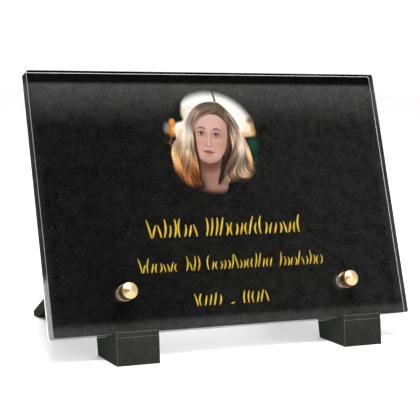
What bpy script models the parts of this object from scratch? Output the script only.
"""Grave plaque: a clear plate with a printed sheet behind it, leaning back on two moulded feet.

Each foot is one moulding: a block under the plate's bottom edge, an upright behind the plate
and a strut that runs back from the upright's top to the ground. A brass cap screw goes through
the plate into each upright. Everything is in metres, with +Z up and the front facing -Y.
The origin is the middle of the part's footprint, on the ground.
"""

import math

import bmesh
import bpy

# Plate, seen from the front
PLATE_WIDTH = 0.300
PLATE_HEIGHT = 0.200
PLATE_THICKNESS = 0.010
PLATE_CORNER_RADIUS = 0.002
PLATE_CHAMFER = 0.00015
PLATE_LEAN = math.radians(19.5)
# Height of the plate's bottom front edge above the ground
PLATE_EDGE_HEIGHT = 0.0203

# Printed sheet behind the plate, all but flush with the plate's edges
SHEET_THICKNESS = 0.0017
SHEET_INSET = 0.0001

# Foot block: how far its middle is in from the plate's end on each side, then its own size.
# Its reaches are measured on the ground from below the plate's bottom front edge.
FOOT_INSETS = {"left": 0.0595, "right": 0.0516}
FOOT_WIDTH = 0.0336
FOOT_FRONT_REACH = 0.0157
FOOT_REAR_REACH = 0.0234
FOOT_FRONT_RAKE = math.radians(7.0)
FOOT_REAR_RAKE = math.radians(15.5)
FOOT_REAR_SHELF_HEIGHT = 0.0136
FOOT_EDGE_ROUND = 0.0005

# Upright and strut, one moulding with the block
UPRIGHT_THICKNESS = 0.008
UPRIGHT_ROOT_DEPTH = 0.006
STRUT_WIDTH = 0.027
STRUT_THICKNESS = 0.008
STRUT_SLOPE = math.radians(30.0)
STRUT_REACH = 0.185
STRUT_HEEL_HEIGHT = 0.0043
STRUT_TOP_ROUND = 0.005
STRUT_FILLET = 0.008

# Cap screws: how far each is in from the plate's end, and up the plate from its bottom front edge.
# A head is a cylinder with a low cone on it, over a thin ring that lies on the plate.
SCREW_INSETS = {"left": 0.0586, "right": 0.0543}
SCREW_HEIGHTS = {"left": 0.0300, "right": 0.0293}
SCREW_HEAD_RADIUS = 0.0061
SCREW_HEAD_LENGTH = 0.0091
SCREW_CONE_HEIGHT = 0.0026
SCREW_EDGE_ROUND = 0.0005
SCREW_RING_RADIUS = 0.0064
SCREW_RING_THICKNESS = 0.0007
SCREW_NECK_RADIUS = 0.0045
SCREW_SHANK_RADIUS = 0.0025
SCREW_GRIP = 0.0055

# Space between pieces that meet, and how far a cutter passes the faces that it cuts
GAP = 0.0003
CUTTER_OVERRUN = 0.002

# Places that follow from the sizes above, as distances back from the plate's front face
SHEET_FRONT = PLATE_THICKNESS + GAP
UPRIGHT_FRONT = SHEET_FRONT + SHEET_THICKNESS + GAP
UPRIGHT_BACK = UPRIGHT_FRONT + UPRIGHT_THICKNESS
FOOTPRINT_MIDDLE = (STRUT_REACH - FOOT_FRONT_REACH) / 2
SIDES = {"left": -1, "right": 1}

ROUND_STEPS = 32
CORNER_STEP = math.radians(22.5)


def clear_scene():
    for item in list(bpy.data.objects):
        bpy.data.objects.remove(item, do_unlink=True)


def new_collection(name):
    collection = bpy.data.collections.new(name)
    bpy.context.scene.collection.children.link(collection)
    return collection


def principled(name, color, roughness, metallic=0.0, transmission=0.0, ior=1.5):
    material = bpy.data.materials.new(name)
    material.use_nodes = True
    shader = material.node_tree.nodes["Principled BSDF"]
    shader.inputs["Base Color"].default_value = (*color, 1.0)
    shader.inputs["Roughness"].default_value = roughness
    shader.inputs["Metallic"].default_value = metallic
    shader.inputs["Transmission Weight"].default_value = transmission
    shader.inputs["IOR"].default_value = ior
    return material


def across(side, inset):
    """The x of a point that is this far in from the plate's end on that side."""
    return SIDES[side] * (PLATE_WIDTH / 2 - inset)


def from_plate(up, back):
    """The (y, z) place of a point given by its distances up the plate and back from its front face."""
    y = up * math.sin(PLATE_LEAN) + back * math.cos(PLATE_LEAN)
    z = PLATE_EDGE_HEIGHT + up * math.cos(PLATE_LEAN) - back * math.sin(PLATE_LEAN)
    return y, z


def crossing(point_a, angle_a, point_b, angle_b):
    """Where two lines in one plane cross, each given by a point and its direction's angle."""
    ax, ay = point_a
    bx, by = point_b
    ux, uy = math.cos(angle_a), math.sin(angle_a)
    vx, vy = math.cos(angle_b), math.sin(angle_b)
    along = ((bx - ax) * vy - (by - ay) * vx) / (ux * vy - uy * vx)
    return ax + along * ux, ay + along * uy


def rounded(corners):
    """Points of a closed outline whose corners are (x, y, radius), with an arc at each round corner."""
    points = []
    for index, (x, y, radius) in enumerate(corners):
        if radius == 0:
            points.append((x, y))
            continue
        before = corners[index - 1]
        after = corners[(index + 1) % len(corners)]
        angle_in = math.atan2(y - before[1], x - before[0])
        angle_out = math.atan2(after[1] - y, after[0] - x)
        turn = (angle_out - angle_in + math.pi) % (2 * math.pi) - math.pi
        setback = radius * math.tan(abs(turn) / 2)
        side = math.copysign(1.0, turn)
        centre_x = x - setback * math.cos(angle_in) - side * radius * math.sin(angle_in)
        centre_y = y - setback * math.sin(angle_in) + side * radius * math.cos(angle_in)
        steps = max(2, math.ceil(abs(turn) / CORNER_STEP))
        for step in range(steps + 1):
            angle = angle_in + turn * step / steps - side * math.pi / 2
            points.append((centre_x + radius * math.cos(angle), centre_y + radius * math.sin(angle)))
    return points


def flat_solid(name, outline, thickness, location, rotation, parent, collection):
    """A closed mesh object made from a filled 2D curve, with the curve's own place and turn."""
    curve = bpy.data.curves.new(name, "CURVE")
    curve.dimensions = "2D"
    curve.fill_mode = "BOTH"
    curve.extrude = thickness / 2
    spline = curve.splines.new("POLY")
    spline.points.add(len(outline) - 1)
    for point, (x, y) in zip(spline.points, outline):
        point.co = (x, y, 0.0, 1.0)
    spline.use_cyclic_u = True
    guide = bpy.data.objects.new(name + "_outline", curve)
    collection.objects.link(guide)
    evaluated = guide.evaluated_get(bpy.context.evaluated_depsgraph_get())
    mesh = bpy.data.meshes.new_from_object(evaluated)
    bpy.data.objects.remove(guide, do_unlink=True)
    shape = bmesh.new()
    shape.from_mesh(mesh)
    bmesh.ops.remove_doubles(shape, verts=shape.verts, dist=0.00001)
    bmesh.ops.recalc_face_normals(shape, faces=shape.faces)
    shape.to_mesh(mesh)
    shape.free()
    return place(name, mesh, location, rotation, parent, collection)


def place(name, mesh, location, rotation, parent, collection):
    piece = bpy.data.objects.new(name, mesh)
    piece.location = location
    piece.rotation_euler = rotation
    piece.parent = parent
    collection.objects.link(piece)
    return piece


def make_guide(piece):
    piece.hide_render = True
    piece.display_type = "WIRE"
    return piece


def add_bevel(piece, width, segments):
    bevel = piece.modifiers.new("edges", "BEVEL")
    bevel.width = width
    bevel.segments = segments
    bevel.limit_method = "ANGLE"
    bevel.angle_limit = math.radians(35)


def add_boolean(piece, other, operation):
    boolean = piece.modifiers.new(operation.lower() + "_" + other.name, "BOOLEAN")
    boolean.operation = operation
    boolean.solver = "EXACT"
    boolean.object = other


def empty(name, location, rotation, parent, collection):
    frame = bpy.data.objects.new(name, None)
    frame.location = location
    frame.rotation_euler = rotation
    frame.parent = parent
    collection.objects.link(frame)
    return frame


def hole_cutter(name, side, radius, front, back, lean_frame, cutters):
    """A cylinder square to the plate on a screw's axis, between two distances behind the front face."""
    mesh = bpy.data.meshes.new(name)
    shape = bmesh.new()
    bmesh.ops.create_cone(shape, cap_ends=True, segments=ROUND_STEPS, radius1=radius, radius2=radius,
                          depth=back - front)
    shape.to_mesh(mesh)
    shape.free()
    location = (across(side, SCREW_INSETS[side]), (front + back) / 2, SCREW_HEIGHTS[side])
    cutter = place(name, mesh, location, (math.pi / 2, 0, 0), lean_frame, cutters)
    return make_guide(cutter)


def sheet(name, inset, thickness, front, corner_radius, lean_frame, collection):
    """A flat sheet in the plate's plane, set in by the same margin on all four sides."""
    half = PLATE_WIDTH / 2 - inset
    low = inset
    high = PLATE_HEIGHT - inset
    corners = [(-half, low), (half, low), (half, high), (-half, high)]
    outline = rounded([(x, y, corner_radius) for x, y in corners])
    location = (0, front + thickness / 2, 0)
    return flat_solid(name, outline, thickness, location, (math.pi / 2, 0, 0), lean_frame, collection)


def clear_plate(lean_frame, through_holes, parts):
    plate = sheet("clear_plate", 0, PLATE_THICKNESS, 0, PLATE_CORNER_RADIUS, lean_frame, parts)
    add_bevel(plate, PLATE_CHAMFER, 1)
    for cutter in through_holes:
        add_boolean(plate, cutter, "DIFFERENCE")
    plate.data.materials.append(principled("clear_acrylic", (0.96, 0.98, 0.98), 0.02, transmission=1.0, ior=1.49))


def printed_sheet(lean_frame, through_holes, parts):
    print_sheet = sheet("printed_sheet", SHEET_INSET, SHEET_THICKNESS, SHEET_FRONT, PLATE_CORNER_RADIUS,
                        lean_frame, parts)
    for cutter in through_holes:
        add_boolean(print_sheet, cutter, "DIFFERENCE")
    print_sheet.data.materials.append(principled("black_print", (0.015, 0.015, 0.017), 0.45))


def block_outline():
    """Side view of the block: its top falls to the rear, square to the plate that stands on it."""
    shelf_start = from_plate(-GAP, 0)
    front_top = crossing((-FOOT_FRONT_REACH, 0), math.pi / 2 - FOOT_FRONT_RAKE, shelf_start, -PLATE_LEAN)
    shelf_end = crossing(shelf_start, -PLATE_LEAN, (0, FOOT_REAR_SHELF_HEIGHT), 0)
    rear_top = crossing((FOOT_REAR_REACH, 0), math.pi / 2 - FOOT_REAR_RAKE, (0, FOOT_REAR_SHELF_HEIGHT), 0)
    return [(-FOOT_FRONT_REACH, 0), (FOOT_REAR_REACH, 0), rear_top, shelf_end, front_top]


def rear_outline():
    """Side view of the upright and the strut behind the plate, like a narrow A with its legs apart."""
    front_root = from_plate(-UPRIGHT_ROOT_DEPTH, UPRIGHT_FRONT)
    back_root = from_plate(-UPRIGHT_ROOT_DEPTH, UPRIGHT_BACK)
    up_the_plate = math.pi / 2 - PLATE_LEAN
    heel_top = (STRUT_REACH, STRUT_HEEL_HEIGHT)
    under_strut = (STRUT_REACH, STRUT_HEEL_HEIGHT - STRUT_THICKNESS / math.cos(STRUT_SLOPE))
    apex = crossing(front_root, up_the_plate, heel_top, -STRUT_SLOPE)
    crotch = crossing(back_root, up_the_plate, under_strut, -STRUT_SLOPE)
    heel_front = crossing(under_strut, -STRUT_SLOPE, (0, 0), 0)
    return rounded([
        (*front_root, 0),
        (*back_root, 0),
        (*crotch, STRUT_FILLET),
        (*heel_front, 0),
        (STRUT_REACH, 0, 0),
        (*heel_top, 0),
        (*apex, STRUT_TOP_ROUND),
    ])


def foot(side, finish, origin_frame, lean_frame, parts, cutters):
    upright_turn = (math.pi / 2, 0, math.pi / 2)
    location = (across(side, FOOT_INSETS[side]), 0, 0)
    block = flat_solid("foot_" + side, block_outline(), FOOT_WIDTH, location, upright_turn, origin_frame, parts)
    add_bevel(block, FOOT_EDGE_ROUND, 2)
    rear = flat_solid("strut_" + side, rear_outline(), STRUT_WIDTH, location, upright_turn, origin_frame, cutters)
    add_bevel(rear, FOOT_EDGE_ROUND, 2)
    make_guide(rear)
    add_boolean(block, rear, "UNION")
    socket = hole_cutter("socket_" + side, side, SCREW_SHANK_RADIUS + GAP, UPRIGHT_FRONT - CUTTER_OVERRUN,
                         UPRIGHT_FRONT + SCREW_GRIP + GAP, lean_frame, cutters)
    add_boolean(block, socket, "DIFFERENCE")
    block.data.materials.append(finish)


def screw_profile():
    """Radius and height of the turned screw, from the tip of its cone down to the end of its shank."""
    ring_top = GAP + SCREW_RING_THICKNESS
    head_top = GAP + SCREW_HEAD_LENGTH
    neck_end = GAP - UPRIGHT_FRONT
    shank_end = -UPRIGHT_FRONT - SCREW_GRIP
    return [
        (0, head_top + SCREW_CONE_HEIGHT),
        (SCREW_HEAD_RADIUS - SCREW_EDGE_ROUND, head_top),
        (SCREW_HEAD_RADIUS, head_top - SCREW_EDGE_ROUND),
        (SCREW_HEAD_RADIUS, ring_top),
        (SCREW_RING_RADIUS, ring_top),
        (SCREW_RING_RADIUS, GAP),
        (SCREW_NECK_RADIUS, GAP),
        (SCREW_NECK_RADIUS, neck_end),
        (SCREW_SHANK_RADIUS, neck_end),
        (SCREW_SHANK_RADIUS, shank_end),
        (0, shank_end),
    ]


def screw_mesh():
    mesh = bpy.data.meshes.new("cap_screw")
    profile = screw_profile()
    edges = [(index, index + 1) for index in range(len(profile) - 1)]
    mesh.from_pydata([(radius, 0, height) for radius, height in profile], edges, [])
    return mesh


def cap_screw(side, mesh, lean_frame, parts):
    location = (across(side, SCREW_INSETS[side]), 0, SCREW_HEIGHTS[side])
    piece = place("cap_screw_" + side, mesh, location, (math.pi / 2, 0, 0), lean_frame, parts)
    turn = piece.modifiers.new("turned", "SCREW")
    turn.steps = ROUND_STEPS
    turn.render_steps = ROUND_STEPS
    turn.use_merge_vertices = True
    turn.merge_threshold = 0.00001
    turn.use_smooth_shade = True


def build():
    clear_scene()
    parts = new_collection("grave_plaque")
    cutters = new_collection("cutters")
    origin_frame = empty("origin_frame", (0, -FOOTPRINT_MIDDLE, 0), (0, 0, 0), None, parts)
    lean_frame = empty("lean_frame", (0, 0, PLATE_EDGE_HEIGHT), (-PLATE_LEAN, 0, 0), origin_frame, parts)
    bpy.context.view_layer.update()

    through_holes = [
        hole_cutter("through_hole_" + side, side, SCREW_NECK_RADIUS + GAP, -CUTTER_OVERRUN,
                    UPRIGHT_FRONT + CUTTER_OVERRUN, lean_frame, cutters)
        for side in SIDES
    ]
    clear_plate(lean_frame, through_holes, parts)
    printed_sheet(lean_frame, through_holes, parts)

    foot_finish = principled("black_moulding", (0.040, 0.041, 0.040), 0.38)
    for side in SIDES:
        foot(side, foot_finish, origin_frame, lean_frame, parts, cutters)

    screws = screw_mesh()
    screws.materials.append(principled("brass", (0.82, 0.60, 0.29), 0.22, metallic=1.0))
    for side in SIDES:
        cap_screw(side, screws, lean_frame, parts)


build()
